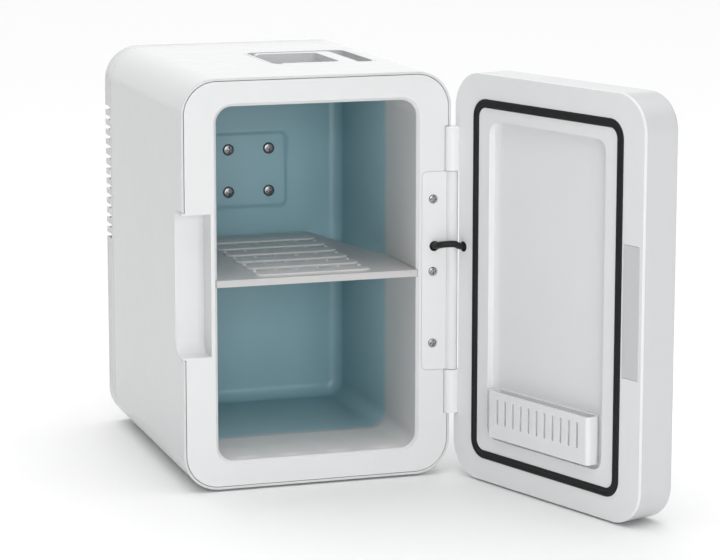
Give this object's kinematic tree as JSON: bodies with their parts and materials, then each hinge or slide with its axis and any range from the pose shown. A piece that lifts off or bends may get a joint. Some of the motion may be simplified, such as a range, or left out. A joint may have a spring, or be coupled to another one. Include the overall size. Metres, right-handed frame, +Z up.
{
  "type": "mini fridge",
  "caption": "Countertop thermoelectric mini fridge with a side-hinged mirrored door, a removable shelf, a door bin, a recessed finger scoop and a fold-flat carry handle.",
  "frame": {"origin": "centre of the cabinet's footprint, on the plane the feet stand on; the door's sweep isn't counted", "axes": "+X to the right seen from the front, +Y to the rear, +Z up; the door opens about +Z at the right"},
  "size_m": [0.2882, 0.4134, 0.287],
  "materials": {
    "white_shell": "satin gloss white ABS",
    "white_front": "satin white ABS",
    "grey_collar": "satin grey plastic",
    "blue_liner": "smooth blue-grey liner",
    "foam": "white bead foam",
    "clear_shelf": "frosted clear plastic",
    "aluminium": "mill finish",
    "dark_screw": "blackened steel",
    "ceramic": "white ceramic",
    "black_plastic": "fine matte black",
    "steel": "zinc plated",
    "board": "green circuit board",
    "rubber": "matte black rubber",
    "cable": "smooth black sheath",
    "gasket": "soft black seal",
    "magnet": "nickel plated",
    "mirror_glass": "silvered glass",
    "diffuser": "frosted light diffuser",
    "button": "satin grey cap"
  },
  "bodies": {
    "cabinet": {"outer_shell": "white_shell", "front_frame": "white_front", "throat_collar": "grey_collar", "inner_liner": "blue_liner", "cabinet_insulation": "foam", "shelf": "clear_shelf", "cold_block": "aluminium", "cold_block_screws": "dark_screw", "peltier_module": "ceramic", "heat_sink": "aluminium", "fan_frame": "black_plastic", "rear_cover": "white_shell", "rear_cover_screws": "steel", "ac_inlet": "black_plastic", "dc_inlet": "black_plastic", "switch_housing": "black_plastic", "control_board": "board", "feet": "rubber", "handle_cup": "white_shell", "hinge_plate": "white_front", "hinge_screws": "steel", "hinge_pin": "steel", "strike_plates": "steel", "hinge_cable": "cable", "cabinet_grommet": "rubber"},
    "door": {"door_shell": "white_shell", "door_inner_panel": "white_front", "door_gasket": "gasket", "pull_cover": "white_front", "door_insulation": "foam", "catch_magnets": "magnet", "door_bin": "white_front", "door_mirror": "mirror_glass", "light_ring": "diffuser", "light_board": "board", "touch_button": "button", "door_grommet": "rubber"},
    "fan": {"fan_rotor": "black_plastic"},
    "rocker": {"mode_rocker": "black_plastic"},
    "handle": {"carry_handle": "white_shell"}
  },
  "joints": [
    {"name": "door_hinge", "type": "hinge", "parent": "cabinet", "child": "door", "pos_m": [0.09762, -0.1148, 0.1465], "axis": [0, 0, 1], "range_deg": [-109.1, 15], "deforming": ["hinge_cable"]},
    {"name": "fan_spin", "type": "hinge", "parent": "cabinet", "child": "fan", "pos_m": [0, 0.0941, 0.1965], "axis": [0, 1, 0], "continuous": true},
    {"name": "mode_switch", "type": "hinge", "parent": "cabinet", "child": "rocker", "pos_m": [0.034, 0.1109, 0.046], "axis": [1, 0, 0], "range_deg": [-10, 10]},
    {"name": "handle_swing", "type": "hinge", "parent": "cabinet", "child": "handle", "pos_m": [0, -0.0019, 0.28262], "axis": [0, -1, 0], "range_deg": [0, 90]}
  ]
}
